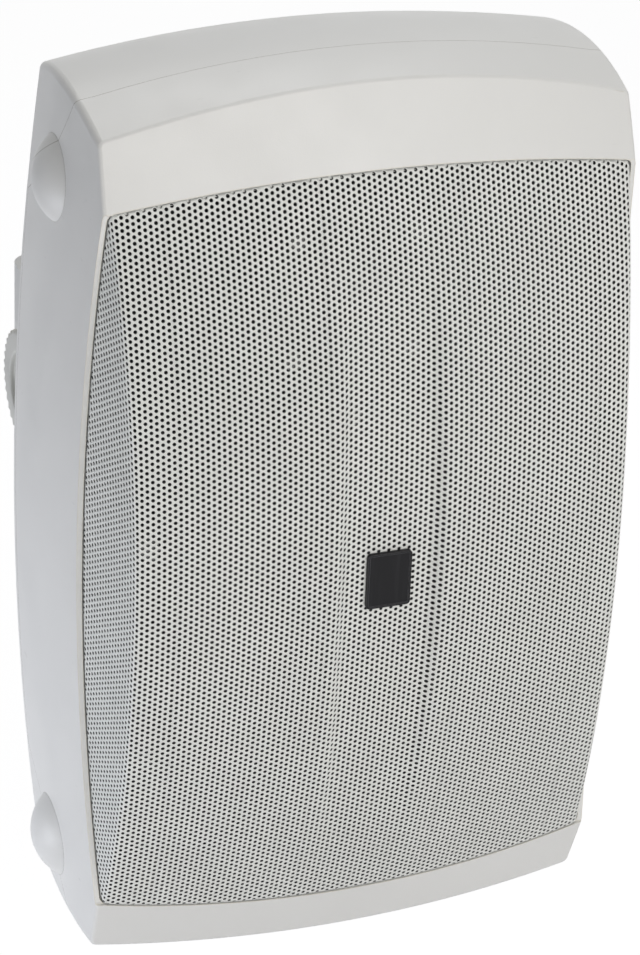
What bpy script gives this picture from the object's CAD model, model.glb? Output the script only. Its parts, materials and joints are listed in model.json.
"""Looks for an outdoor speaker: grille, badge, knobs, soft woofer rings, screws, finishes and a stage.

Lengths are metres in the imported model's own frame: x to the right, y towards the wall, z up.
"""
import json
import math

import bpy
import numpy as np
from bpy.props import FloatProperty, FloatVectorProperty, IntProperty, PointerProperty
from mathutils import Matrix, Vector


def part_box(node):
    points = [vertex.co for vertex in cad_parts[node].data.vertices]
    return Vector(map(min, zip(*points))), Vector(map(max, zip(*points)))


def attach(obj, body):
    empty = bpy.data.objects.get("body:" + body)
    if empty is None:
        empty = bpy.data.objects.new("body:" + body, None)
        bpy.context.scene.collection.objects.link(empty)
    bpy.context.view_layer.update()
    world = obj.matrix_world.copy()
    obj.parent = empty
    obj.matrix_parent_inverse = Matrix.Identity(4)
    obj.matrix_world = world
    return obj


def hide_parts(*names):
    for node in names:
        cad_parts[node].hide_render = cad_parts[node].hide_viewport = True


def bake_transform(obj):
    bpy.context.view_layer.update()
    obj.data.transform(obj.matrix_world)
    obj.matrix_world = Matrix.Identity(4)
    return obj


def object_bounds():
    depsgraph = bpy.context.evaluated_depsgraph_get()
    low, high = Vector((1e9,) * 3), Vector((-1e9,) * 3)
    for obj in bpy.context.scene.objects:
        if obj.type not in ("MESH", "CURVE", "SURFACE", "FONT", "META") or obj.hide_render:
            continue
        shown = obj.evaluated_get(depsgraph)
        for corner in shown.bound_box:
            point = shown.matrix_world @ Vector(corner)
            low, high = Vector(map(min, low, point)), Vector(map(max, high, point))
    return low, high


bl_info = {
    "name": "Outdoor speaker looks",
    "version": (1, 0, 0),
    "blender": (4, 5, 0),
    "location": "View3D > Sidebar > Speaker",
    "description": "Builds the visible pieces and finishes of an outdoor speaker round its packed frame",
    "category": "Object",
}

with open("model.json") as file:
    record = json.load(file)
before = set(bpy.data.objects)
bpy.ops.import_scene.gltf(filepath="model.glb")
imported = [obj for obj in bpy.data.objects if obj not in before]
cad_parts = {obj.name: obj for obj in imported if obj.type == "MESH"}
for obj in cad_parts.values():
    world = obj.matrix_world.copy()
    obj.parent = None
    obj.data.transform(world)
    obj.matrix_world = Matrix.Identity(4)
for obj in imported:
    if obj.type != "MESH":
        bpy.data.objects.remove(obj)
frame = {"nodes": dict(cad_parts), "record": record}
CAD_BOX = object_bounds()

# Places read from the frame
GRILLE_LOW, GRILLE_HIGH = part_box("grille")
BADGE_LOW, BADGE_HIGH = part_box("grille_badge")
KNOB_LOW, KNOB_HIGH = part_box("knob_right")
MID_Z = (BADGE_LOW.z + BADGE_HIGH.z) / 2
BAFFLE_Y = GRILLE_HIGH.y
SLOT_COLOURS = {entry["slot"]: entry["base_color"] for entry in frame["record"]["materials"]}

# Counts that set how finely the surfaces are divided
GRILLE_ZONES = 5
HOLE_SIDES = 8
FOLD_STEPS = 4
OUTLINE_STEPS = 160
KNOB_STEPS_PER_TOOTH = 8
ROUND_STEPS = 4
ROLL_STEPS = 14
SPIDER_STEPS = 48
SECTORS = 12
SECTOR_STEPS = 8
SCREW_SIDES = 32
SCREW_RINGS = 10
FLOOR_STEPS = 48
OUTLINE_PASSES = 2

# A small step or distance, as a share of the size that it is measured against
SMALL = 0.05
# Most of a profile's side that a rounding may take
ROUND_ROOM = 0.45
# Twice the area under which a triangle is dropped, as a share of the pitch squared
SLIVER = 1e-4
# Corners of a hole's hexagonal cell from its middle, in thirds of a column and halves of a row
HEX_CORNERS = np.array([(2, 0), (1, 1), (-1, 1), (-2, 0), (-1, -1), (1, -1)])
HEX_SIDES = len(HEX_CORNERS)
# Where a turned profile starts beside its axis, as a share of the radius that follows
AXIS_GAP = 0.25
# How far in the badge's rings reach over its field, in widths of its rim
FIELD_REACH = 3
# Innermost ring of a screw's face and its point, as shares of the head's radius
SCREW_CENTRE = 0.05
SCREW_POINT = 0.1

# Angles between faces up to which a piece is shaded round
BADGE_SMOOTH = math.radians(35)
SKIRT_SMOOTH = math.radians(40)
SCREW_SMOOTH = math.radians(40)
KNOB_SMOOTH = math.radians(50)
RING_SMOOTH = math.radians(50)

# Sockets of a mix of two colours
MIX_FIRST = 6
MIX_SECOND = 7
MIX_RESULT = 2

# Tones of the lip, the seam and the inside, and radii within which an edge shows them
EDGE_CREAM = (0.80, 0.77, 0.68)
SEAM_BROWN = (0.20, 0.17, 0.13)
INNER_BLACK = (0.012, 0.012, 0.013)
LIP_EDGE = 0.0009
SEAM_EDGE = 0.0004

# Roughness of the cabinet and the floor, and the level of the floor's plain white
CABINET_ROUGH = 0.42
FLOOR_ROUGH = 0.9
FLOOR_WHITE = 1.10

# Mesh attribute that runs from 0 on the sheet's outer face to 1 on its inner face
SHEET_DEPTH = "sheet_depth"


# Sizes and colours that a user would change
def length(name, description, default):
    """Length property in metres."""
    return FloatProperty(name=name, description=description, default=default, unit="LENGTH", precision=5)


def share(name, description, default):
    """Share property, from 0 to 1."""
    return FloatProperty(
        name=name, description=description, default=default, subtype="FACTOR", min=0.0, max=1.0
    )


def power(name, description, default):
    """Power property of a lamp, in watts."""
    return FloatProperty(name=name, description=description, default=default, unit="POWER", min=0.0)


def angle(name, description, degrees):
    """Angle property, given in degrees."""
    radians = math.radians(degrees)
    return FloatProperty(name=name, description=description, default=radians, subtype="ANGLE", precision=4)


def colour(name, description, default):
    """Linear colour property."""
    return FloatVectorProperty(
        name=name, description=description, default=default, subtype="COLOR", size=3, min=0.0, max=1.0
    )


class GrilleSizes(bpy.types.PropertyGroup):
    """Sizes of the formed and perforated sheet."""

    depth: length("Depth", "From the foremost point of the curved front to the baffle", 0.046)
    plan_radius: length("Plan radius", "Radius of the front seen from above", 0.500)
    rise_radius: length("Rise radius", "Radius of the front seen from the side", 0.387)
    sheet: length("Sheet", "Thickness of the metal", 0.001)
    pitch: length("Hole pitch", "Distance between neighbouring holes", 0.002)
    hole_radius: length("Hole radius", "Radius of each hole", 0.00062)
    top_bow: length("Top bow", "How far the top edge falls from its middle to its ends", 0.0080)
    bottom_bow: length("Bottom bow", "How far the bottom edge climbs from its middle to its ends", 0.0067)
    side_bow: length("Side bow", "How far each side edge leans in from mid-height to its ends", 0.0039)
    corner_radius: length("Corner radius", "Radius of the sheet's four corners", 0.0012)
    corner_height: length("Corner height", "Height of the corners above and below mid-height", 0.1244)
    flank_half: length("Flank half width", "Half width between the flanks' planes at the apex", 0.0820)
    flank_bow: length("Flank bow", "How far the flanks lean in towards the corners", 0.00167)
    flank_slope: angle("Flank slope", "How far each flank leans outwards as it goes back", 12.0)
    fold_soft: length("Fold softness", "Rounding of the fold between front and flank", 0.0013)
    lip_mid: length("Lip at mid-height", "Where the flank ends at mid-height, behind the apex", 0.0395)
    lip_corner: length("Lip at the corners", "Where the flank ends at the corners, behind the apex", 0.029)
    trough_depth: length("Trough depth", "Depth of the trough at mid-height", 0.0039)
    trough_floor: length("Trough floor", "Half width of the trough's floor", 0.0143)
    trough_run: length("Trough run", "Width of each of the trough's sloping sides", 0.00425)
    trough_length: length("Trough length", "Half height of the trough", 0.105)
    trough_soft: length("Trough softness", "Rounding of the trough's edges", 0.0012)
    edge_roll: length("Edge roll", "Width of the rolled-back edge of the sheet", 0.0007)


class BadgeSizes(bpy.types.PropertyGroup):
    """Sizes of the plain badge."""

    rim: length("Rim", "Width of the raised rim", 0.0007)
    sink: length("Sink", "Depth of the field inside the rim", 0.0004)
    corner_radius: length("Corner radius", "Radius of the plate's corners", 0.0012)
    edge_round: length("Edge round", "Rounding of the rim", 0.0002)


class KnobSizes(bpy.types.PropertyGroup):
    """Sizes of the clamp knobs."""

    teeth: IntProperty(name="Teeth", description="Grip teeth round each knob", default=36, min=8)
    tooth: length("Tooth depth", "Depth of the grip teeth", 0.0014)
    hub_radius: length("Hub radius", "Radius of the hub beside the bracket", 0.013)
    hub: length("Hub", "Length of the hub", 0.007)
    dish_radius: length("Dish radius", "Radius of the dish in the outer face", 0.012)
    dish: length("Dish depth", "Depth of the dish", 0.002)
    edge_round: length("Edge round", "Rounding of the knob's edges", 0.0009)


class WooferSizes(bpy.types.PropertyGroup):
    """Sizes of the two soft rings that carry the woofer's cone."""

    surround: length("Surround", "Thickness of the rubber surround", 0.0008)
    outer_lip: length("Outer lip", "Width of the surround's flat lip on the flange", 0.004)
    inner_lip: length("Inner lip", "Width of the surround's flat lip on the cone", 0.003)
    spider: length("Spider", "Thickness of the cloth spider", 0.0006)
    rim: length("Spider rim", "Width of the spider's flat rim on the basket", 0.0058)
    waves: IntProperty(name="Spider waves", description="Waves between rim and collar", default=3, min=1)
    wave: length("Wave height", "Height of the spider's waves", 0.0014)
    drop: length("Spider drop", "How far the collar lies behind the rim", 0.0034)
    collar_radius: length("Collar radius", "Radius of the coil former that the collar holds", 0.01315)
    collar: length("Collar", "Width of the spider's collar", 0.0018)


class ScrewSizes(bpy.types.PropertyGroup):
    """Sizes of the screws that show, as shares of the head's radius."""

    head: share("Head height", "Height of the head", 0.65)
    crown: share("Crown", "How far the head's face falls towards its rim", 0.22)
    shank: share("Shank radius", "Radius of the shank", 0.49)
    recess: share("Recess depth", "Depth of the cross recess", 0.42)
    arm: share("Arm width", "Half width of each arm of the cross", 0.13)
    reach: share("Arm reach", "Reach of each arm of the cross", 0.56)
    slope: share("Recess slope", "Width of the recess's sloping walls", 0.12)


class FinishColours(bpy.types.PropertyGroup):
    """Base colour of each finish."""

    __annotations__ = {
        slot: colour(slot.replace("_", " ").capitalize(), "Base colour of this finish", value)
        for slot, value in SLOT_COLOURS.items()
    }


class StageLook(bpy.types.PropertyGroup):
    """Floor, light and camera."""

    floor: colour("Floor", "Colour of the floor", (0.85, 0.855, 0.88))
    floor_gap: length("Floor gap", "Room between the part and the floor", 0.12)
    floor_radius: length("Floor radius", "How far the floor reaches", 8.0)
    floor_glow: share("Floor glow", "Share of plain white in the floor as seen", 0.86)
    sky: FloatProperty(name="Sky", description="Level of the even light all round", default=0.08, min=0.0)
    sky_colour: colour("Sky colour", "Colour of the even light all round", (0.92, 0.95, 1.0))
    key_power: power("Key light", "Power of the key light", 15.0)
    key_colour: colour("Key colour", "Colour of the key light", (1.0, 0.98, 0.955))
    key_size: length("Key size", "Side of the key light", 1.1)
    key_distance: length("Key distance", "From the part to the key light", 1.6)
    key_turn: angle("Key turn", "Turn of the key light to the left of the front", -8.0)
    key_height: angle("Key height", "Height of the key light above the level", 24.0)
    fill_power: power("Fill light", "Power of the low fill light", 0.58)
    fill_colour: colour("Fill colour", "Colour of the low fill light", (0.88, 0.91, 1.0))
    fill_size: length("Fill size", "Side of the fill light", 0.16)
    fill_distance: length("Fill distance", "From the part to the fill light", 0.46)
    fill_turn: angle("Fill turn", "Turn of the fill light to the left of the front", 85.0)
    fill_height: angle("Fill height", "Height of the fill light above the level", -20.0)
    top_power: power("Top light", "Power of the top light", 5.2)
    top_colour: colour("Top colour", "Colour of the top light", (1.0, 1.0, 1.0))
    top_size: length("Top size", "Side of the top light", 0.8)
    top_distance: length("Top distance", "From the part to the top light", 1.2)
    top_turn: angle("Top turn", "Turn of the top light to the left of the front", 190.0)
    top_height: angle("Top height", "Height of the top light above the level", 62.0)
    camera_turn: angle("Camera turn", "Turn of the camera to the left of the front", 21.518)
    camera_height: angle("Camera height", "Height of the camera above the level", 26.847)
    camera_roll: angle("Camera roll", "Turn of the picture", 2.390)
    camera_distance: length("Camera distance", "From the camera to the foremost point of the front", 1.1251)
    camera_shift: FloatVectorProperty(
        name="Camera shift", description="Sideways and upward move of the camera", size=2, unit="LENGTH",
        default=(-0.023585, 0.031865), precision=5,
    )
    camera_lens: FloatProperty(name="Lens", description="Focal length", default=133.45, unit="CAMERA")
    camera_aim: FloatVectorProperty(
        name="Camera aim", description="Point that the camera's distance is measured from", size=3,
        unit="LENGTH", default=(0.0006, -0.2002, -0.018), precision=5,
    )


GROUPS = {
    "speaker_grille": GrilleSizes,
    "speaker_badge": BadgeSizes,
    "speaker_knob": KnobSizes,
    "speaker_woofer": WooferSizes,
    "speaker_screw": ScrewSizes,
    "speaker_colours": FinishColours,
    "speaker_stage": StageLook,
}


# Meshes from arrays
def full_turn(steps):
    """Angles of even steps round a full turn."""
    return np.arange(steps) * 2 * math.pi / steps


def grid_triangles(rows, columns, close_rows, close_columns):
    """Two triangles for each cell of a grid of points, numbered row by row; closed directions wrap."""
    row = np.arange(rows if close_rows else rows - 1)
    column = np.arange(columns if close_columns else columns - 1)
    row, column = (part.ravel() for part in np.meshgrid(row, column, indexing="ij"))
    next_row = (row + 1) % rows
    next_column = (column + 1) % columns
    a = row * columns + column
    b = row * columns + next_column
    c = next_row * columns + next_column
    d = next_row * columns + column
    return np.concatenate([np.stack([a, b, c], 1), np.stack([a, c, d], 1)])


def capped_tube(points):
    """Closed skin of a tube of rings, the rows of a grid closed along its columns, with a fan on each end."""
    rows, columns = points.shape[:2]
    triangles = grid_triangles(rows, columns, False, True)
    first = rows * columns
    last = first + 1
    ring = np.arange(columns)
    after = (ring + 1) % columns
    end = (rows - 1) * columns
    front_fan = np.stack([np.full(columns, first), after, ring], 1)
    back_fan = np.stack([np.full(columns, last), end + ring, end + after], 1)
    middles = np.stack([points[0].mean(0), points[-1].mean(0)])
    corners = np.concatenate([points.reshape(-1, 3), middles])
    return corners, np.concatenate([triangles, front_fan, back_fan])


def rounded(corners, radius):
    """Profile with each inner corner replaced by a parabola that starts and ends a radius away from it."""
    corners = np.asarray(corners, float)
    before = corners[:-2] - corners[1:-1]
    after = corners[2:] - corners[1:-1]
    room = ROUND_ROOM * np.minimum(np.linalg.norm(before, axis=1), np.linalg.norm(after, axis=1))
    cut = np.minimum(room, radius)[:, None]
    start = corners[1:-1] + before / np.linalg.norm(before, axis=1, keepdims=True) * cut
    end = corners[1:-1] + after / np.linalg.norm(after, axis=1, keepdims=True) * cut
    along = np.linspace(0, 1, ROUND_STEPS + 1)[None, :, None]
    bend = (1 - along) ** 2 * start[:, None] + 2 * along * (1 - along) * corners[1:-1, None]
    bend = bend + along**2 * end[:, None]
    return np.concatenate([corners[:1], bend.reshape(-1, 2), corners[-1:]])


def outward(points, triangles):
    """The same closed skin with its faces outwards, so that the volume that they enclose is positive."""
    first, second, third = (points[triangles[:, side]] for side in range(3))
    volume = np.einsum("ij,ij->", first, np.cross(second, third))
    return points, triangles if volume > 0 else triangles[:, ::-1]


def add_piece(name, points, triangles, body, slot, material, smooth=None):
    """Object at the origin with a triangle mesh; faces under the smooth angle are shaded round.

    It rides on a body, or on none where a blend between two bodies follows.
    """
    mesh = bpy.data.meshes.new(name)
    mesh.vertices.add(len(points))
    mesh.vertices.foreach_set("co", np.ascontiguousarray(points, np.float32).ravel())
    mesh.loops.add(triangles.size)
    mesh.loops.foreach_set("vertex_index", np.ascontiguousarray(triangles, np.int32).ravel())
    mesh.polygons.add(len(triangles))
    mesh.polygons.foreach_set("loop_start", np.arange(0, triangles.size, 3, dtype=np.int32))
    mesh.update(calc_edges=True)
    mesh.validate()
    if smooth is not None:
        mesh.polygons.foreach_set("use_smooth", np.ones(len(mesh.polygons), bool))
        mesh.set_sharp_from_angle(angle=smooth)
    piece = bpy.data.objects.new(name, mesh)
    bpy.context.scene.collection.objects.link(piece)
    mesh.materials.append(material)
    if body:
        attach(piece, body)
    return piece


# Form of the grille
def front_depth(g, x, z):
    """Depth of the doubly curved front behind its apex: a plan arc turned about a level axis."""
    plan = g.plan_radius - np.sqrt(g.plan_radius**2 - x**2)
    return g.rise_radius - np.sqrt((g.rise_radius - plan) ** 2 - z**2)


def soft_positive(value, softness):
    """Value where it is positive and nothing where it is negative, with the corner between rounded."""
    return 0.5 * (value + np.sqrt(value**2 + softness**2))


def pressed_depth(g, x, z):
    """Depth of the front with its trough: the deeper of the front and a flatter arc with sloping sides."""
    floor_r = 1 / (1 / g.rise_radius - 2 * g.trough_depth / g.trough_length**2)
    floor = g.trough_depth + floor_r - np.sqrt(floor_r**2 - z**2)
    climb = soft_positive(np.abs(x) - g.trough_floor, g.trough_soft) * g.trough_depth / g.trough_run
    front = front_depth(g, x, z)
    return front + soft_positive(floor - climb - front, g.trough_soft)


def fold_half(g, z):
    """Half width at which the flanks leave the front, found by stepping between the two surfaces."""
    lean = math.tan(g.flank_slope)
    plane = g.flank_half - g.flank_bow * (z / g.corner_height) ** 2
    x = plane
    for _ in range(FOLD_STEPS):
        x = plane + front_depth(g, x, z) * lean
    return x


def side_reach(g, z):
    """Distance across the sheet from its middle to its side edge: half the front plus the flank."""
    fold = fold_half(g, z)
    lip = g.lip_mid - (g.lip_mid - g.lip_corner) * (z / g.corner_height) ** 2
    return fold + np.maximum(lip - front_depth(g, fold, z), 0) / math.cos(g.flank_slope)


def edge_height(g, u, middle, bow):
    """Height of the top or bottom edge across the sheet: a parabola that falls by the bow, its ends round."""
    half = side_reach(g, np.array([g.corner_height]))[0]
    across = np.minimum(np.abs(u), half)
    over = np.maximum(across - (half - g.corner_radius), 0)
    drop = g.corner_radius - np.sqrt(g.corner_radius**2 - over**2)
    return middle - bow * (across / half) ** 2 - drop


def sheet_edges(g, u):
    """Heights of the bottom and the top edge across the sheet, from mid-height."""
    top = edge_height(g, u, GRILLE_HIGH.z - MID_Z, g.top_bow)
    bottom = edge_height(g, u, MID_Z - GRILLE_LOW.z, g.bottom_bow)
    return -bottom, top


def edge_room(g, u, z):
    """Distance from a point of the sheet to its nearest edge, negative outside."""
    bottom, top = sheet_edges(g, u)
    return np.minimum(np.minimum(top - z, z - bottom), side_reach(g, z) - np.abs(u))


def onto_sheet(g, u, z):
    """Points outside the sheet's outline moved straight onto it."""
    for _ in range(OUTLINE_PASSES):
        z = np.clip(z, *sheet_edges(g, u))
        reach = side_reach(g, z)
        u = np.clip(u, -reach, reach)
    return u, z


def sheet_points(g, u, z):
    """Outer face of the sheet.

    Across the sheet a point runs along the pressed front to the fold and then along the flank, with the
    turn between them rounded. Close to the outline it rolls back by a parabola.
    """
    across = np.abs(u)
    bend = soft_positive(across - fold_half(g, z), g.fold_soft)
    x = across - (1 - math.sin(g.flank_slope)) * bend
    front_lean = x / g.plan_radius * math.sin(g.flank_slope)
    y = pressed_depth(g, x, z) + (math.cos(g.flank_slope) - front_lean) * bend
    roll = np.maximum(g.edge_roll - edge_room(g, u, z), 0) ** 2 / (2 * g.edge_roll)
    return np.stack([np.sign(u) * x, y + roll + BAFFLE_Y - g.depth, z + MID_Z], -1)


def sheet_normals(g, u, z):
    """Outward normals of the sheet, from the slopes across and up its outer face."""
    step = SMALL * g.sheet
    across = sheet_points(g, u + step, z) - sheet_points(g, u - step, z)
    up = sheet_points(g, u, z + step) - sheet_points(g, u, z - step)
    normal = np.cross(across, up)
    return normal / np.linalg.norm(normal, axis=-1, keepdims=True)


def ring_triangles(outer, inner):
    """Triangles between two rings that start at the same angle, the outer one's points numbered first."""
    triangles = []
    i = j = 0
    while i < outer or j < inner:
        if (i + 1) / outer <= (j + 1) / inner:
            triangles.append((i % outer, (i + 1) % outer, outer + j % inner))
            i += 1
        else:
            triangles.append((i % outer, outer + (j + 1) % inner, outer + j % inner))
            j += 1
    return np.array(triangles)


def hole_counts(g):
    """Number of hole columns on each side of the middle one, and of rows above and below it."""
    widest = side_reach(g, np.zeros(1))[0]
    tallest = g.rise_radius * math.asin(max(GRILLE_HIGH.z - MID_Z, MID_Z - GRILLE_LOW.z) / g.rise_radius)
    return int(widest / (g.pitch * math.sqrt(3) / 2)) + 1, int(tallest / g.pitch) + 1


def cell_place(g, keys):
    """Across and height of points counted in thirds of a column and halves of a row.

    Rows are even along the curved front, so heights follow a sine.
    """
    flat = keys * np.array([g.pitch / (2 * math.sqrt(3)), g.pitch / 2])
    return flat[..., 0], g.rise_radius * np.sin(flat[..., 1] / g.rise_radius)


def hole_rings(g, middle):
    """Points round each hole: a circle about the middle of its cell."""
    turn = full_turn(HOLE_SIDES)
    circle = g.hole_radius * np.stack([np.cos(turn), np.sin(turn)], 1)
    rings = np.stack(cell_place(g, middle), 1)[:, None] + circle
    return rings.reshape(-1, 2)


def perforated_face(g, columns, rows):
    """Flat plan of a stretch of the sheet: (across, height) points and triangles.

    Each hole has a hexagonal cell. Cells share their corners, points outside the outline move onto it, and
    a cell whose middle is outside has no hole.
    """
    column, row = (part.ravel() for part in np.meshgrid(columns, rows, indexing="ij"))
    middle = np.stack([3 * column, 2 * row + column % 2], 1)
    room = edge_room(g, *cell_place(g, middle))
    corner_room = edge_room(g, *cell_place(g, middle[:, None] + HEX_CORNERS)).max(1)
    kept = np.maximum(room, corner_room) > 0
    middle = middle[kept]
    holed = room[kept] > 0
    keys = (middle[:, None] + HEX_CORNERS).reshape(-1, 2)
    shared, index = np.unique(keys, axis=0, return_inverse=True)
    cells = index.reshape(-1, HEX_SIDES)
    corners = np.stack(onto_sheet(g, *cell_place(g, shared)), 1)
    rings = np.stack(onto_sheet(g, *hole_rings(g, middle[holed]).T), 1)
    ring_index = len(corners) + np.arange(len(rings)).reshape(-1, HOLE_SIDES)
    pierced = np.concatenate([cells[holed], ring_index], 1)[:, ring_triangles(HEX_SIDES, HOLE_SIDES)]
    fan = np.array([(0, step, step + 1) for step in range(1, HEX_SIDES - 1)])
    triangles = np.concatenate([pierced.reshape(-1, 3), cells[~holed][:, fan].reshape(-1, 3)])
    points = np.concatenate([corners, rings])
    first, second, third = (points[triangles[:, side]] for side in range(3))
    twice_area = np.cross(second - first, third - first)
    return points, triangles[twice_area > SLIVER * g.pitch**2]


def thick_sheet(g, flat, triangles):
    """Closed sheet from its flat plan: outer face, inner face a thickness behind it, and walls on its edges.

    Gives points, triangles and which points are on the inner face.
    """
    outside = sheet_points(g, flat[:, 0], flat[:, 1])
    inside = outside - g.sheet * sheet_normals(g, flat[:, 0], flat[:, 1])
    count = len(flat)
    start = triangles.ravel()
    end = np.roll(triangles, -1, axis=1).ravel()
    open_edge = ~np.isin(start * count + end, end * count + start)
    start = start[open_edge]
    end = end[open_edge]
    walls = [np.stack([end, start, start + count], 1), np.stack([end, start + count, end + count], 1)]
    faces = np.concatenate([triangles, triangles[:, ::-1] + count, *walls])
    used = np.unique(faces)
    return np.concatenate([outside, inside])[used], np.searchsorted(used, faces), used >= count


def sheet_outline(g):
    """Closed line round the sheet, anticlockwise from the lower right: (across, height), none repeated."""
    along = np.linspace(0, 1, OUTLINE_STEPS, endpoint=False)
    high = GRILLE_HIGH.z - MID_Z
    low = GRILLE_LOW.z - MID_Z
    wide = side_reach(g, np.array([g.corner_height]))[0]
    far = np.full(OUTLINE_STEPS, 1.0)
    sweep = wide * (1 - 2 * along)
    climb = g.corner_height * (2 * along - 1)
    u = np.concatenate([far, sweep, -far, -sweep])
    z = np.concatenate([climb, far * high, -climb, far * low])
    u, z = onto_sheet(g, u, z)
    apart = np.hypot(u - np.roll(u, 1), z - np.roll(z, 1)) > SMALL * g.corner_radius
    return u[apart], z[apart]


def grille_skirt(g):
    """Plain skirt behind the sheet's edge: its outline carried back to the baffle, a thickness deep."""
    edge = sheet_points(g, *sheet_outline(g))
    along = np.roll(edge, -1, axis=0) - np.roll(edge, 1, axis=0)
    inward = np.stack([-along[:, 2], np.zeros(len(edge)), along[:, 0]], 1)
    inward /= np.linalg.norm(inward, axis=1, keepdims=True)
    front = edge + np.array([0, g.sheet / 2, 0])
    back = edge * np.array([1, 0, 1]) + np.array([0, BAFFLE_Y, 0])
    rings = np.stack([front, back, back + inward * g.sheet, front + inward * g.sheet])
    return outward(rings.reshape(-1, 3), grid_triangles(4, len(edge), True, True))


# Form of the badge and the knobs
def rounded_rectangles(half_width, half_height, radius):
    """Outlines of rectangles with round corners, one for each size: offsets (x, z) on quarter circles."""
    turn = np.linspace(0, math.pi / 2, ROUND_STEPS + 1)
    quarter = np.arange(4)[:, None] * math.pi / 2 + turn
    half_width, half_height, radius = (size[:, None, None] for size in (half_width, half_height, radius))
    corner_x = (half_width - radius) * np.array([1, -1, -1, 1])[:, None]
    corner_z = (half_height - radius) * np.array([1, 1, -1, -1])[:, None]
    outlines = np.stack([corner_x + radius * np.cos(quarter), corner_z + radius * np.sin(quarter)], -1)
    return outlines.reshape(len(radius), -1, 2)


def badge_skin(b):
    """Plate whose profile, from its back over a raised rim and down to its field, follows its outline."""
    back = BADGE_HIGH.y
    face = BADGE_LOW.y
    field = face + b.sink
    corners = [(0, back), (0, face), (b.rim, face), (b.rim, field), (FIELD_REACH * b.rim, field)]
    inset, y = rounded(corners, b.edge_round).T
    half_width = (BADGE_HIGH.x - BADGE_LOW.x) / 2 - inset
    half_height = (BADGE_HIGH.z - BADGE_LOW.z) / 2 - inset
    radius = np.maximum(b.corner_radius - inset, b.edge_round)
    outlines = rounded_rectangles(half_width, half_height, radius)
    depth = np.broadcast_to(y[:, None], outlines.shape[:2])
    return outward(*capped_tube(np.stack([outlines[..., 0], depth, MID_Z + outlines[..., 1]], -1)))


def knob_skin(k, side):
    """Toothed knob: a profile turned about the pivot, its rim pulled in by a saw wave between the teeth."""
    low = KNOB_LOW.x
    out = KNOB_HIGH.x
    rim = (KNOB_HIGH.z - KNOB_LOW.z) / 2
    corners = [
        (out - k.dish, AXIS_GAP * k.dish_radius), (out - k.dish, k.dish_radius), (out, k.dish_radius),
        (out, rim), (low + k.hub, rim), (low + k.hub, k.hub_radius), (low, k.hub_radius),
        (low, AXIS_GAP * k.hub_radius),
    ]
    profile = rounded(corners, k.edge_round)
    turn = full_turn(k.teeth * KNOB_STEPS_PER_TOOTH)
    grip = np.clip((profile[:, 1] - k.hub_radius) / (rim - k.tooth - k.hub_radius), 0, 1)
    groove = k.tooth * np.abs(2 * ((k.teeth * turn / (2 * math.pi)) % 1) - 1)
    radius = profile[:, 1:] - grip[:, None] * groove
    axial = np.repeat(profile[:, :1], len(turn), axis=1)
    pivot_y = (KNOB_LOW.y + KNOB_HIGH.y) / 2
    pivot_z = (KNOB_LOW.z + KNOB_HIGH.z) / 2
    points = np.stack([side * axial, pivot_y + radius * np.cos(turn), pivot_z + radius * np.sin(turn)], -1)
    return outward(*capped_tube(points))


# Form of the woofer's soft rings
def surround_strip(w):
    """Front and back lines of the surround, as (radius, depth): a flat lip, a half round and a flat lip.

    Gives the radii inside which it follows the cone and outside which it stays on the flange as well.
    """
    low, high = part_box("woofer_surround")
    out_radius = (high.x - low.x) / 2
    face = high.y - w.surround
    roll = face - low.y
    hollow = roll - w.surround
    held = out_radius - w.outer_lip
    middle = held - roll
    carried = middle - roll
    in_radius = carried - w.inner_lip
    turn = np.linspace(0, math.pi, ROLL_STEPS + 1)
    crown = np.stack([middle - roll * np.cos(turn), face - roll * np.sin(turn)], 1)
    under = np.stack([middle - hollow * np.cos(turn), face - hollow * np.sin(turn)], 1)
    lip_in = [(in_radius, face), (carried - w.inner_lip / 2, face)]
    lip_out = [(held + w.outer_lip / 2, face), (out_radius, face)]
    front = np.concatenate([lip_in, crown, lip_out])
    foot_in = [(in_radius, high.y), (middle - hollow, high.y)]
    foot_out = [(middle + hollow, high.y), (out_radius, high.y)]
    back = np.concatenate([foot_in, under, foot_out])
    return front, back, carried, held


def spider_strip(w):
    """Front and back lines of the spider, as (radius, depth): a rim, cosine waves on a slope and a collar.

    Gives the radii inside which it follows the coil and outside which it stays on the basket as well.
    """
    low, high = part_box("woofer_spider")
    out_radius = (high.x - low.x) / 2
    carried = w.collar_radius + w.collar
    held = out_radius - w.rim
    half_waves = 2 * w.waves
    inwards = np.linspace(0, 1, SPIDER_STEPS + 1)
    fade = np.minimum(1, half_waves * np.minimum(inwards, 1 - inwards))
    rim_y = high.y - w.drop * (1 - 1 / half_waves) - w.wave
    depth = rim_y + w.drop * inwards - w.wave * fade * np.cos(half_waves * math.pi * inwards)
    slope = np.stack([held + (carried - held) * inwards, depth], 1)
    back = np.concatenate([[(out_radius, rim_y)], slope, [(w.collar_radius, rim_y + w.drop)]])
    return back - np.array([0, w.spider]), back, carried, held


def ring_sector(front, back, axis, start, end):
    """Closed sector of a soft ring: the strip between two lines, turned about the driver's axis."""
    section = np.concatenate([front, back[::-1]])
    turn = np.linspace(start, end, SECTOR_STEPS + 1)[:, None]
    depth = np.broadcast_to(section[:, 1], (len(turn), len(section)))
    x = axis.x + section[:, 0] * np.sin(turn)
    z = axis.z + section[:, 0] * np.cos(turn)
    near = np.arange(len(front) - 1)
    far = len(section) - 1 - near
    cap = np.concatenate([np.stack([near, far, near + 1], 1), np.stack([near + 1, far, far - 1], 1)])
    sides = grid_triangles(len(turn), len(section), False, True)
    other_cap = cap[:, ::-1] + SECTOR_STEPS * len(section)
    return outward(np.stack([x, depth, z], -1).reshape(-1, 3), np.concatenate([sides, cap, other_cap]))


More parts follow.
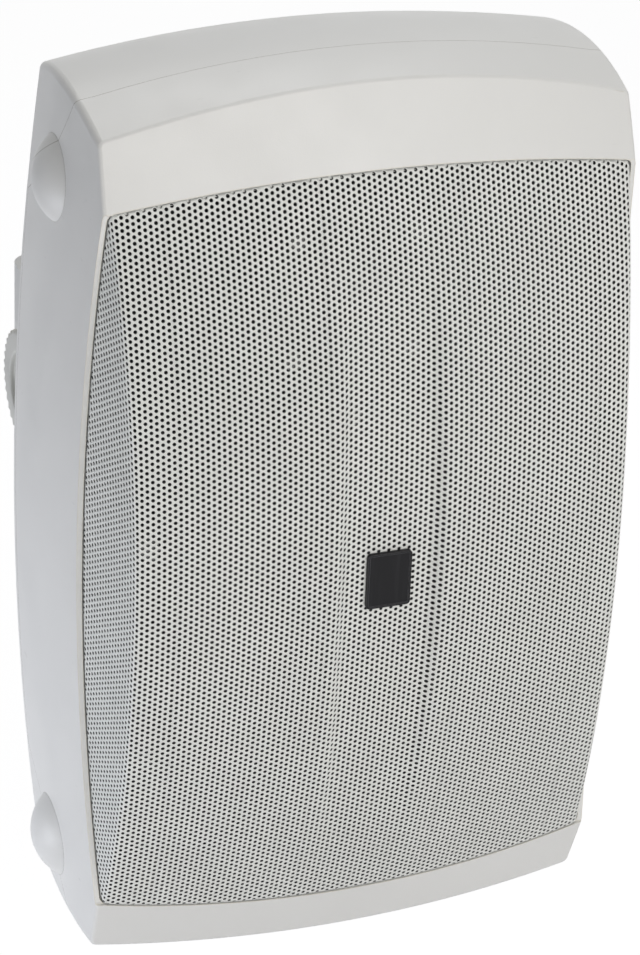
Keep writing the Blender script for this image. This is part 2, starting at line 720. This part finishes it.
def add_soft_ring(node, strip, slot):
    """Soft ring in sectors, each bent along its own middle line between the moving cone and the basket.

    Neighbouring sectors meet at the same angle from their middle lines, so they stay joined as the cone
    travels.
    """
    front, back, carried, held = strip
    low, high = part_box(node)
    axis = (low + high) / 2
    half = math.pi / SECTORS
    for number in range(SECTORS):
        middle = 2 * half * number
        points, faces = ring_sector(front, back, axis, middle - half, middle + half)
        name = f"{node}_{number + 1}"
        piece = add_piece(name, points, faces, None, slot, finish_for(slot), RING_SMOOTH)
        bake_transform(piece)
        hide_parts(node)


# Form of the screws
def screw_places(node):
    """Boxes of a node's four screws, one in each quarter of the node."""
    mesh = frame["nodes"][node].data
    points = np.empty(3 * len(mesh.vertices))
    mesh.vertices.foreach_get("co", points)
    points = points.reshape(-1, 3)
    middle = (points.min(0) + points.max(0)) / 2
    right = points[:, 0] > middle[0]
    upper = points[:, 2] > middle[2]
    choices = ((side, level) for side in (True, False) for level in (True, False))
    quarters = (points[(right == side) & (upper == level)] for side, level in choices)
    return [(quarter.min(0), quarter.max(0)) for quarter in quarters]


def screw_skin(s, low, high):
    """Crowned screw along y: a profile turned about its axis, with a cross of two arms sunk in its face."""
    radius = (high[0] - low[0]) / 2
    middle = (low + high) / 2
    face = np.linspace(SCREW_CENTRE, 1, SCREW_RINGS)
    tip = (high[1] - low[1]) / radius
    under = [(1.0, s.head), (s.shank, s.head), (s.shank, tip - s.shank), (SCREW_POINT, tip)]
    profile = np.concatenate([np.stack([face, s.crown * face**2], 1), under])
    turn = full_turn(SCREW_SIDES)
    x = profile[:, :1] * np.cos(turn)
    z = profile[:, :1] * np.sin(turn)
    arm = np.clip((s.arm + s.slope - np.minimum(np.abs(x), np.abs(z))) / s.slope, 0, 1)
    reach = np.clip((s.reach + s.slope - profile[:, :1]) / s.slope, 0, 1)
    on_face = np.arange(len(profile))[:, None] < SCREW_RINGS
    sunk = profile[:, 1:] + s.recess * arm * reach * on_face
    points = np.stack([middle[0] + radius * x, high[1] - radius * sunk, middle[2] + radius * z], -1)
    return outward(*capped_tube(points))


# Finishes
class Finish:
    """Material under construction: a principled shader on object coordinates, with a grain for relief."""

    def __init__(self, name, base, rough, metallic=0.0):
        self.material = bpy.data.materials.new(name)
        self.material.use_nodes = True
        self.tree = self.material.node_tree
        self.shader = self.tree.nodes["Principled BSDF"]
        self.base = base
        self.rough = rough
        self.shader.inputs["Metallic"].default_value = metallic
        self.place = self.tree.nodes.new("ShaderNodeTexCoord").outputs["Object"]

    def add(self, kind, **settings):
        """New node with its named attributes set."""
        node = self.tree.nodes.new(kind)
        for key, value in settings.items():
            setattr(node, key, value)
        return node

    def feed(self, socket, value):
        """Links an output to an input, or sets the input to a constant."""
        if isinstance(value, bpy.types.NodeSocket):
            self.tree.links.new(value, socket)
        else:
            socket.default_value = value

    def math(self, operation, first, second=0.0):
        """Result of a sum on one or two values."""
        node = self.add("ShaderNodeMath", operation=operation)
        self.feed(node.inputs[0], first)
        self.feed(node.inputs[1], second)
        return node.outputs[0]

    def noise(self, scale, detail=3.0, stretch=(1.0, 1.0, 1.0)):
        """Noise on the object's own coordinates, in grains for each metre, stretched if asked."""
        mapping = self.add("ShaderNodeMapping")
        self.feed(mapping.inputs["Vector"], self.place)
        mapping.inputs["Scale"].default_value = stretch
        node = self.add("ShaderNodeTexNoise")
        self.feed(node.inputs["Vector"], mapping.outputs[0])
        node.inputs["Scale"].default_value = scale
        node.inputs["Detail"].default_value = detail
        return node.outputs["Fac"]

    def bands(self, scale, axis):
        """Fine parallel bands across an axis, for windings and weave."""
        node = self.add("ShaderNodeTexWave", bands_direction=axis)
        self.feed(node.inputs["Vector"], self.place)
        node.inputs["Scale"].default_value = scale
        return node.outputs["Fac"]

    def cells(self, scale):
        """Distance to the nearest of scattered points, for pits and pores."""
        node = self.add("ShaderNodeTexVoronoi")
        self.feed(node.inputs["Vector"], self.place)
        node.inputs["Scale"].default_value = scale
        return node.outputs["Distance"]

    def spread(self, value, low, high, start=0.3, end=0.7):
        """Value between start and end mapped to the range from low to high."""
        node = self.add("ShaderNodeMapRange")
        self.feed(node.inputs["Value"], value)
        for key, number in (("From Min", start), ("From Max", end), ("To Min", low), ("To Max", high)):
            node.inputs[key].default_value = number
        return node.outputs["Result"]

    def mix(self, amount, first, second):
        """Colour between two colours."""
        node = self.add("ShaderNodeMix", data_type="RGBA")
        self.feed(node.inputs["Factor"], amount)
        for socket, value in ((MIX_FIRST, first), (MIX_SECOND, second)):
            whole = value if isinstance(value, bpy.types.NodeSocket) else (*value, 1.0)
            self.feed(node.inputs[socket], whole)
        return node.outputs[MIX_RESULT]

    def tones(self, pattern, first, second, start=0.3, end=0.7):
        """Colour that follows a pattern from one shade of the base to another."""
        amount = self.spread(pattern, 0.0, 1.0, start, end)
        return self.mix(amount, shade(self.base, first), shade(self.base, second))

    def patchy(self, pattern, under, over):
        """Roughness that follows a pattern, from a little under the finish's own to a little over it."""
        return self.spread(pattern, self.rough - under, self.rough + over)

    def hollows(self, reach):
        """Mask of hollows: where the piece itself hides the sky within a reach."""
        node = self.add("ShaderNodeAmbientOcclusion", samples=4, only_local=True)
        node.inputs["Distance"].default_value = reach
        return self.spread(node.outputs["AO"], 1.0, 0.0, start=0.2, end=0.9)

    def bowed_limit(self, value, across, bow, limit):
        """1 where a value plus a parabola of the place across it stays under a limit, and 0 beyond."""
        square = self.math("MULTIPLY", across, across)
        reach = self.math("ADD", value, self.math("MULTIPLY", square, bow))
        return self.math("LESS_THAN", reach, limit)

    def edges(self, radius):
        """Mask of edges: where the normal rounded over a radius leaves the true one."""
        bevel = self.add("ShaderNodeBevel", samples=4)
        bevel.inputs["Radius"].default_value = radius
        true = self.add("ShaderNodeNewGeometry").outputs["Normal"]
        dot = self.add("ShaderNodeVectorMath", operation="DOT_PRODUCT")
        self.feed(dot.inputs[0], bevel.outputs[0])
        self.feed(dot.inputs[1], true)
        return self.spread(dot.outputs["Value"], 1.0, 0.0, start=0.80, end=0.99)

    def done(self, colour_value, rough_value, height, relief, depth):
        """Joins colour, roughness and relief to the shader and gives the material."""
        self.feed(self.shader.inputs["Base Color"], colour_value)
        self.feed(self.shader.inputs["Roughness"], rough_value)
        bump = self.add("ShaderNodeBump")
        bump.inputs["Strength"].default_value = relief
        bump.inputs["Distance"].default_value = depth
        self.feed(bump.inputs["Height"], height)
        self.feed(self.shader.inputs["Normal"], bump.outputs["Normal"])
        return self.material


def shade(base, factor):
    """Colour made lighter or darker."""
    return tuple(min(1.0, channel * factor) for channel in base)


def moulded_tone(f):
    """Slow clouds of tone with a few hairline scuffs, and dust held in hollows."""
    tone = f.tones(f.noise(9.0), 0.975, 1.015)
    streaks = f.noise(150.0, detail=8.0, stretch=(0.2, 1.0, 2.5))
    scuffs = f.spread(streaks, 0.0, 0.3, start=0.70, end=0.78)
    tone = f.mix(scuffs, tone, shade(f.base, 0.6))
    dust = f.math("MULTIPLY", f.hollows(0.0012), 0.6)
    return f.mix(dust, tone, shade(f.base, 0.35))


def moulded_skin(f, tone):
    """Fine spark-eroded grain with patchy gloss."""
    grain = f.noise(2600.0, detail=2.0)
    return f.done(tone, f.patchy(f.noise(60.0), 0.05, 0.05), grain, relief=0.12, depth=0.0003)


def moulding(name, base, rough, edge, edge_radius):
    """Moulded plastic: clouded tone, spark-eroded grain, and edges polished, yellowed or soiled by wear."""
    f = Finish(name, base, rough)
    tone = f.mix(f.edges(edge_radius), moulded_tone(f), edge)
    return moulded_skin(f, tone)


def coated_tone(f, clean, dusty):
    """Clouds of dust on paint, between a clean and a dusty shade of its colour."""
    return f.tones(f.noise(45.0, detail=5.0), clean, dusty, start=0.35, end=0.75)


def coated_skin(f, tone):
    """Soft orange peel with patchy gloss."""
    peel = f.noise(700.0, detail=2.0)
    return f.done(tone, f.patchy(f.noise(120.0), 0.06, 0.06), peel, relief=0.10, depth=0.0004)


def powder_coat(name, base, rough):
    """Powder-coated metal: soft orange peel and a little dust in the tone."""
    f = Finish(name, base, rough)
    return coated_skin(f, coated_tone(f, 1.01, 0.96))


def sheet_coat(name, base, rough):
    """Powder coat outside the perforated sheet and a little way into its holes, and black inside."""
    f = Finish(name, base, rough)
    inside = f.add("ShaderNodeAttribute", attribute_name=SHEET_DEPTH).outputs["Fac"]
    behind = f.spread(inside, 0.0, 1.0, start=0.08, end=0.22)
    return coated_skin(f, f.mix(behind, coated_tone(f, 1.08, 1.03), INNER_BLACK))


def bare_metal(name, base, rough):
    """Plated or machined metal: fine tool lines, patchy polish and slow changes of tone."""
    f = Finish(name, base, rough, metallic=1.0)
    lines = f.noise(900.0, stretch=(1.0, 1.0, 14.0))
    tone = f.tones(f.noise(70.0, detail=4.0), 0.86, 1.06)
    return f.done(tone, f.patchy(lines, 0.07, 0.10), lines, relief=0.10, depth=0.0002)


def rubber(name, base, rough):
    """Moulded rubber: matt, with a faint bloom and a soft grain."""
    f = Finish(name, base, rough)
    bloom = f.spread(f.noise(28.0, detail=4.0), 0.0, 0.6)
    tone = f.mix(bloom, base, shade(base, 1.7))
    grain = f.noise(1500.0, detail=2.0)
    return f.done(tone, f.patchy(grain, 0.08, 0.08), grain, relief=0.15, depth=0.0003)


def foam(name, base, rough):
    """Closed-cell foam: small round pores with darker floors."""
    f = Finish(name, base, rough)
    pores = f.cells(1100.0)
    tone = f.tones(pores, 0.55, 1.2, start=0.05, end=0.45)
    return f.done(tone, f.patchy(f.noise(200.0), 0.05, 0.0), pores, relief=0.35, depth=0.0005)


def pulp(name, base, rough):
    """Pressed paper pulp: short tangled fibres under a thin dope."""
    f = Finish(name, base, rough)
    fibres = f.noise(520.0, detail=6.0, stretch=(1.0, 3.0, 1.0))
    tone = f.tones(fibres, 0.75, 1.5)
    return f.done(tone, f.patchy(fibres, 0.1, 0.1), fibres, relief=0.35, depth=0.0005)


def cloth(name, base, rough):
    """Doped cloth: two crossed sets of fine threads, shiny where the dope is thick."""
    f = Finish(name, base, rough)
    weave = f.math("ADD", f.bands(260.0, "X"), f.bands(260.0, "Z"))
    tone = f.tones(weave, 0.7, 1.3, start=0.2, end=1.8)
    return f.done(tone, f.patchy(f.noise(90.0), 0.1, 0.1), weave, relief=0.3, depth=0.0003)


def winding(name, base, rough):
    """Wound enamelled wire: bands one wire wide, darker between the turns."""
    f = Finish(name, base, rough, metallic=0.9)
    turns = f.bands(330.0, "Y")
    tone = f.mix(turns, shade(base, 0.35), shade(base, 1.1))
    return f.done(tone, f.patchy(f.noise(150.0), 0.08, 0.08), turns, relief=0.5, depth=0.0003)


def mineral(name, base, rough):
    """Fired or cast mineral: gritty, with specks lighter and darker than the body."""
    f = Finish(name, base, rough)
    tone = f.tones(f.cells(800.0), 0.8, 1.15, start=0.1, end=0.6)
    grit = f.noise(1300.0, detail=4.0)
    return f.done(tone, f.patchy(grit, 0.08, 0.06), grit, relief=0.3, depth=0.0004)


def gloss(name, base, rough, edge):
    """Glossy moulding: hairline scuffs, faint waves in the skin and edges a shade lighter."""
    f = Finish(name, base, rough)
    f.shader.inputs["Specular IOR Level"].default_value = 0.12
    scuffs = f.noise(420.0, detail=5.0, stretch=(1.0, 1.0, 0.08))
    tone = f.mix(f.spread(scuffs, 0.0, 0.5, start=0.5, end=0.8), base, shade(base, 1.8))
    tone = f.mix(f.edges(0.0004), tone, edge)
    return f.done(tone, f.patchy(scuffs, 0.0, 0.16), f.noise(260.0), relief=0.05, depth=0.0003)


def board_finish(name, base, rough):
    """Phenolic board: paper layers seen as fine streaks under a lacquer."""
    f = Finish(name, base, rough)
    streaks = f.noise(240.0, detail=5.0, stretch=(0.15, 1.0, 1.0))
    tone = f.tones(streaks, 0.75, 1.25)
    return f.done(tone, f.patchy(streaks, 0.0, 0.12), streaks, relief=0.12, depth=0.0002)


def shell_finish(name, base, rough, g):
    """White moulding of the front shell: cream at the lip, soiled at the seam, black behind the grille."""
    f = Finish(name, base, rough)
    apart = f.add("ShaderNodeSeparateXYZ")
    f.feed(apart.inputs[0], f.place)
    x, y, z = apart.outputs
    by_seam = f.math("GREATER_THAN", y, BAFFLE_Y)
    tone = f.mix(f.math("SUBTRACT", f.edges(LIP_EDGE), by_seam), moulded_tone(f), EDGE_CREAM)
    tone = f.mix(f.math("MULTIPLY", f.edges(SEAM_EDGE), by_seam), tone, SEAM_BROWN)
    level = f.math("SUBTRACT", z, MID_Z)
    beside = f.bowed_limit(f.math("ABSOLUTE", x), level, g.side_bow / g.corner_height**2, GRILLE_HIGH.x)
    below = f.bowed_limit(level, x, g.top_bow / GRILLE_HIGH.x**2, GRILLE_HIGH.z - MID_Z)
    under = f.math("MULTIPLY", level, -1.0)
    above = f.bowed_limit(under, x, g.bottom_bow / GRILLE_HIGH.x**2, MID_Z - GRILLE_LOW.z)
    inside = f.math("MULTIPLY", beside, f.math("MULTIPLY", below, above))
    behind = f.math("GREATER_THAN", y, BAFFLE_Y - g.sheet)
    tone = f.mix(f.math("MULTIPLY", inside, behind), tone, INNER_BLACK)
    return moulded_skin(f, tone)


# Each slot's finish and roughness, with the tone and the radius of its edges where the finish has them
FINISHES = {
    "cabinet_plastic": (moulding, CABINET_ROUGH, SEAM_BROWN, SEAM_EDGE),
    "grille_paint": (sheet_coat, 0.45),
    "badge_plastic": (gloss, 0.28, (0.16, 0.16, 0.17)),
    "bracket_paint": (powder_coat, 0.48),
    "knob_plastic": (moulding, 0.50, (0.74, 0.72, 0.66), LIP_EDGE),
    "steel": (bare_metal, 0.32),
    "brass": (bare_metal, 0.30),
    "rubber": (rubber, 0.72),
    "foam": (foam, 0.90),
    "basket_paint": (powder_coat, 0.42),
    "cone_paper": (pulp, 0.62),
    "cap_fabric": (cloth, 0.50),
    "spider_fabric": (cloth, 0.78),
    "coil_copper": (winding, 0.34),
    "ferrite": (mineral, 0.55),
    "plate_steel": (bare_metal, 0.36),
    "dark_plastic": (moulding, 0.50, (0.06, 0.06, 0.065), LIP_EDGE),
    "lever_black": (gloss, 0.30, (0.12, 0.12, 0.12)),
    "lever_red": (gloss, 0.30, (0.72, 0.10, 0.08)),
    "board": (board_finish, 0.38),
    "film": (gloss, 0.26, (0.82, 0.70, 0.30)),
    "cement": (mineral, 0.70),
    "wire": (rubber, 0.46),
}


def finish_for(slot):
    """Material of a slot, made once, in the colour that its property gives."""
    name = "finish_" + slot
    if name in bpy.data.materials:
        return bpy.data.materials[name]
    base = tuple(getattr(bpy.context.scene.speaker_colours, slot))
    make, *values = FINISHES[slot]
    return make(name, base, *values)


def finish_node(name):
    """Gives a carried-over part the finish of its slot."""
    slots = frame["nodes"][name].material_slots
    slots[0].material = finish_for(slots[0].material.name)


# Operators
class SPEAKER_OT_grille(bpy.types.Operator):
    """Build the perforated sheet of the grille and its skirt"""

    bl_idname = "speaker.grille"
    bl_label = "Grille"

    def execute(self, context):
        g = context.scene.speaker_grille
        coat = finish_for("grille_paint")
        columns, rows = (np.arange(-count, count + 1) for count in hole_counts(g))
        for number, zone in enumerate(np.array_split(columns, GRILLE_ZONES), 1):
            points, faces, inner = thick_sheet(g, *perforated_face(g, zone, rows))
            piece = add_piece(f"grille_sheet_{number}", points, faces, "cabinet", "grille_paint", coat)
            mark = piece.data.attributes.new(SHEET_DEPTH, "FLOAT", "POINT")
            mark.data.foreach_set("value", inner.astype(np.float32))
            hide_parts("grille")
        skirt = add_piece("grille_skirt", *grille_skirt(g), "cabinet", "grille_paint", coat, SKIRT_SMOOTH)
        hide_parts("grille")
        return {"FINISHED"}


class SPEAKER_OT_badge(bpy.types.Operator):
    """Build the plain badge in the grille's trough"""

    bl_idname = "speaker.badge"
    bl_label = "Badge"

    def execute(self, context):
        points, faces = badge_skin(context.scene.speaker_badge)
        coat = finish_for("badge_plastic")
        piece = add_piece("badge_plate", points, faces, "cabinet", "badge_plastic", coat, BADGE_SMOOTH)
        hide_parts("grille_badge")
        return {"FINISHED"}


class SPEAKER_OT_knobs(bpy.types.Operator):
    """Build the two toothed clamp knobs"""

    bl_idname = "speaker.knobs"
    bl_label = "Clamp knobs"

    def execute(self, context):
        coat = finish_for("knob_plastic")
        for side, name in ((-1, "knob_left"), (1, "knob_right")):
            points, faces = knob_skin(context.scene.speaker_knob, side)
            piece = add_piece(name + "_grip", points, faces, name, "knob_plastic", coat, KNOB_SMOOTH)
            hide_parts(name)
        return {"FINISHED"}


class SPEAKER_OT_suspension(bpy.types.Operator):
    """Build the woofer's surround and spider, which bend as the cone travels"""

    bl_idname = "speaker.suspension"
    bl_label = "Woofer suspension"

    def execute(self, context):
        w = context.scene.speaker_woofer
        add_soft_ring("woofer_surround", surround_strip(w), "rubber")
        add_soft_ring("woofer_spider", spider_strip(w), "spider_fabric")
        return {"FINISHED"}


class SPEAKER_OT_screws(bpy.types.Operator):
    """Build the screws that show from behind"""

    bl_idname = "speaker.screws"
    bl_label = "Screws"

    def execute(self, context):
        coat = finish_for("steel")
        for node in ("cabinet_screws", "terminal_screws"):
            for number, (low, high) in enumerate(screw_places(node), 1):
                points, faces = screw_skin(context.scene.speaker_screw, low, high)
                name = f"{node[:-1]}_{number}"
                piece = add_piece(name, points, faces, "cabinet", "steel", coat, SCREW_SMOOTH)
                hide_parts(node)
        return {"FINISHED"}


class SPEAKER_OT_shells(bpy.types.Operator):
    """Finish the cabinet's shells and seal"""

    bl_idname = "speaker.shells"
    bl_label = "Cabinet shells"

    def execute(self, context):
        base = tuple(context.scene.speaker_colours.cabinet_plastic)
        coat = shell_finish("finish_front_shell", base, CABINET_ROUGH, context.scene.speaker_grille)
        frame["nodes"]["front_cabinet"].material_slots[0].material = coat
        for name in ("rear_cabinet", "cabinet_gasket"):
            finish_node(name)
        return {"FINISHED"}


class FinishGroup:
    """Finishes a group of carried-over parts, each by its slot."""

    nodes = ()

    def execute(self, context):
        for name in self.nodes:
            finish_node(name)
        return {"FINISHED"}


class SPEAKER_OT_bracket(FinishGroup, bpy.types.Operator):
    """Finish the wall bracket and its pivots"""

    bl_idname = "speaker.bracket"
    bl_label = "Wall bracket"
    nodes = ("wall_bracket", "knob_stud_left", "knob_stud_right", "pivot_inserts", "pivot_pads")


class SPEAKER_OT_woofer(FinishGroup, bpy.types.Operator):
    """Finish the woofer"""

    bl_idname = "speaker.woofer"
    bl_label = "Woofer"
    nodes = (
        "woofer_basket", "woofer_gasket", "woofer_cone", "woofer_dust_cap", "woofer_voice_coil",
        "woofer_top_plate", "woofer_magnet", "woofer_pole_yoke", "woofer_screws", "woofer_terminal",
        "woofer_lead",
    )


class SPEAKER_OT_tweeter(FinishGroup, bpy.types.Operator):
    """Finish the tweeter"""

    bl_idname = "speaker.tweeter"
    bl_label = "Tweeter"
    nodes = (
        "tweeter_faceplate", "tweeter_dome", "tweeter_surround", "tweeter_voice_coil", "tweeter_top_plate",
        "tweeter_magnet", "tweeter_pole_yoke", "tweeter_screws", "tweeter_lead",
    )


class SPEAKER_OT_terminals(FinishGroup, bpy.types.Operator):
    """Finish the terminal cup and its levers"""

    bl_idname = "speaker.terminals"
    bl_label = "Terminals"
    nodes = (
        "terminal_cup", "terminal_gasket", "terminal_lever_left", "terminal_lever_right", "lever_pin",
        "terminal_contacts", "terminal_leads",
    )


class SPEAKER_OT_crossover(FinishGroup, bpy.types.Operator):
    """Finish the crossover"""

    bl_idname = "speaker.crossover"
    bl_label = "Crossover"
    nodes = (
        "crossover_board", "crossover_screws", "inductor_bobbin", "inductor_winding", "crossover_capacitor",
        "crossover_resistor",
    )


# Stage
def floor_points(stage):
    """Disc under the part: a fan of triangles from its middle to one ring."""
    turn = full_turn(FLOOR_STEPS)
    level = CAD_BOX[0].z - stage.floor_gap
    ring = stage.floor_radius * np.stack([np.cos(turn), np.sin(turn)], 1)
    points = np.concatenate([np.zeros((1, 2)), ring])
    index = np.arange(FLOOR_STEPS)
    faces = np.stack([np.zeros(FLOOR_STEPS, int), 1 + index, 1 + (index + 1) % FLOOR_STEPS], 1)
    return np.concatenate([points, np.full((len(points), 1), level)], 1), faces


def seen_directly(tree):
    """1 for a ray from the camera, or one that a gloss or glass sends on, and 0 for light."""
    path = tree.nodes.new("ShaderNodeLightPath")
    result = path.outputs["Is Camera Ray"]
    for name in ("Is Glossy Ray", "Is Transmission Ray"):
        both = tree.nodes.new("ShaderNodeMath")
        both.operation = "MAXIMUM"
        tree.links.new(result, both.inputs[0])
        tree.links.new(path.outputs[name], both.inputs[1])
        result = both.outputs[0]
    return result


def floor_material(stage):
    """Pale matt floor that keeps the shadow, part of it plain white where it is seen."""
    material = bpy.data.materials.new("stage_floor")
    material.use_nodes = True
    tree = material.node_tree
    matt = tree.nodes["Principled BSDF"]
    matt.inputs["Base Color"].default_value = (*stage.floor, 1.0)
    matt.inputs["Roughness"].default_value = FLOOR_ROUGH
    white = tree.nodes.new("ShaderNodeEmission")
    white.inputs["Strength"].default_value = FLOOR_WHITE
    glow = tree.nodes.new("ShaderNodeMath")
    glow.operation = "MULTIPLY"
    glow.inputs[1].default_value = stage.floor_glow
    tree.links.new(seen_directly(tree), glow.inputs[0])
    both = tree.nodes.new("ShaderNodeMixShader")
    tree.links.new(glow.outputs[0], both.inputs[0])
    tree.links.new(matt.outputs[0], both.inputs[1])
    tree.links.new(white.outputs[0], both.inputs[2])
    tree.links.new(both.outputs[0], tree.nodes["Material Output"].inputs["Surface"])
    return material


def light_sky(stage):
    """Even light all round, seen as plain white."""
    world = bpy.data.worlds.new("studio")
    bpy.context.scene.world = world
    world.use_nodes = True
    tree = world.node_tree
    glow = tree.nodes["Background"]
    seen = seen_directly(tree)
    level = tree.nodes.new("ShaderNodeMapRange")
    level.inputs["To Min"].default_value = stage.sky
    level.inputs["To Max"].default_value = 1.0
    tree.links.new(seen, level.inputs["Value"])
    tree.links.new(level.outputs["Result"], glow.inputs["Strength"])
    tint = tree.nodes.new("ShaderNodeMix")
    tint.data_type = "RGBA"
    tree.links.new(seen, tint.inputs["Factor"])
    tint.inputs[MIX_FIRST].default_value = (*stage.sky_colour, 1.0)
    tint.inputs[MIX_SECOND].default_value = (1.0, 1.0, 1.0, 1.0)
    tree.links.new(tint.outputs[MIX_RESULT], glow.inputs["Color"])


def direction(turn, height):
    """Unit vector from the part to a place left of the front by a turn and above the level by a height."""
    level = math.cos(height)
    return Vector((-math.sin(turn) * level, -math.cos(turn) * level, math.sin(height)))


def add_lamp(stage, name):
    """Square lamp at its own turn, height and distance, aimed at the middle of the part."""
    lamp = bpy.data.lights.new(name + "_light", "AREA")
    lamp.energy = getattr(stage, name + "_power")
    lamp.color = getattr(stage, name + "_colour")
    lamp.size = getattr(stage, name + "_size")
    away = direction(getattr(stage, name + "_turn"), getattr(stage, name + "_height"))
    holder = bpy.data.objects.new(name + "_light", lamp)
    bpy.context.scene.collection.objects.link(holder)
    holder.location = (CAD_BOX[0] + CAD_BOX[1]) / 2 + getattr(stage, name + "_distance") * away
    holder.rotation_euler = away.to_track_quat("Z", "Y").to_euler()


def add_camera(stage):
    """Camera at its turn, height, roll and distance, moved sideways and up in its own picture plane."""
    back = direction(stage.camera_turn, stage.camera_height)
    right = Vector((0, 0, 1)).cross(back).normalized()
    up = back.cross(right)
    roll = stage.camera_roll
    turned_right = math.cos(roll) * right + math.sin(roll) * up
    turned_up = -math.sin(roll) * right + math.cos(roll) * up
    camera = bpy.data.cameras.new("photo_view")
    camera.lens = stage.camera_lens
    holder = bpy.data.objects.new("photo_view", camera)
    bpy.context.scene.collection.objects.link(holder)
    aside, above = stage.camera_shift
    place = Vector(stage.camera_aim) + stage.camera_distance * back
    place = place + aside * turned_right + above * turned_up
    axes = Matrix((turned_right, turned_up, back)).transposed().to_4x4()
    holder.matrix_world = Matrix.Translation(place) @ axes
    bpy.context.scene.camera = holder


class SPEAKER_OT_stage(bpy.types.Operator):
    """Lay the floor and set the light and the camera"""

    bl_idname = "speaker.stage"
    bl_label = "Stage"

    def execute(self, context):
        stage = context.scene.speaker_stage
        points, faces = floor_points(stage)
        mesh = bpy.data.meshes.new("floor")
        mesh.from_pydata(points, [], faces)
        mesh.materials.append(floor_material(stage))
        floor = bpy.data.objects.new("floor", mesh)
        context.scene.collection.objects.link(floor)
        light_sky(stage)
        for name in ("key", "fill", "top"):
            add_lamp(stage, name)
        add_camera(stage)
        context.scene.view_settings.view_transform = "Standard"
        return {"FINISHED"}


OPERATORS = (
    SPEAKER_OT_grille,
    SPEAKER_OT_badge,
    SPEAKER_OT_knobs,
    SPEAKER_OT_suspension,
    SPEAKER_OT_screws,
    SPEAKER_OT_shells,
    SPEAKER_OT_bracket,
    SPEAKER_OT_woofer,
    SPEAKER_OT_tweeter,
    SPEAKER_OT_terminals,
    SPEAKER_OT_crossover,
    SPEAKER_OT_stage,
)


class SPEAKER_PT_sidebar(bpy.types.Panel):
    """Buttons for each group of pieces, in the order that they are made"""

    bl_idname = "SPEAKER_PT_sidebar"
    bl_label = "Outdoor speaker"
    bl_space_type = "VIEW_3D"
    bl_region_type = "UI"
    bl_category = "Speaker"

    def draw(self, context):
        for operator in OPERATORS:
            self.layout.operator(operator.bl_idname)


def register():
    """Adds the properties, the operators and the panel."""
    for group in GROUPS.values():
        bpy.utils.register_class(group)
    for name, group in GROUPS.items():
        setattr(bpy.types.Scene, name, PointerProperty(type=group))
    for operator in OPERATORS:
        bpy.utils.register_class(operator)
    bpy.utils.register_class(SPEAKER_PT_sidebar)


def unregister():
    """Takes them away again, in the opposite order."""
    bpy.utils.unregister_class(SPEAKER_PT_sidebar)
    for operator in reversed(OPERATORS):
        bpy.utils.unregister_class(operator)
    for name in GROUPS:
        delattr(bpy.types.Scene, name)
    for group in reversed(tuple(GROUPS.values())):
        bpy.utils.unregister_class(group)


def main():
    """Builds the whole scene."""
    register()
    bpy.ops.speaker.grille()
    bpy.ops.speaker.badge()
    bpy.ops.speaker.knobs()
    bpy.ops.speaker.suspension()
    bpy.ops.speaker.screws()
    bpy.ops.speaker.shells()
    bpy.ops.speaker.bracket()
    bpy.ops.speaker.woofer()
    bpy.ops.speaker.tweeter()
    bpy.ops.speaker.terminals()
    bpy.ops.speaker.crossover()
    bpy.ops.speaker.stage()


if __name__ == "__main__":
    main()
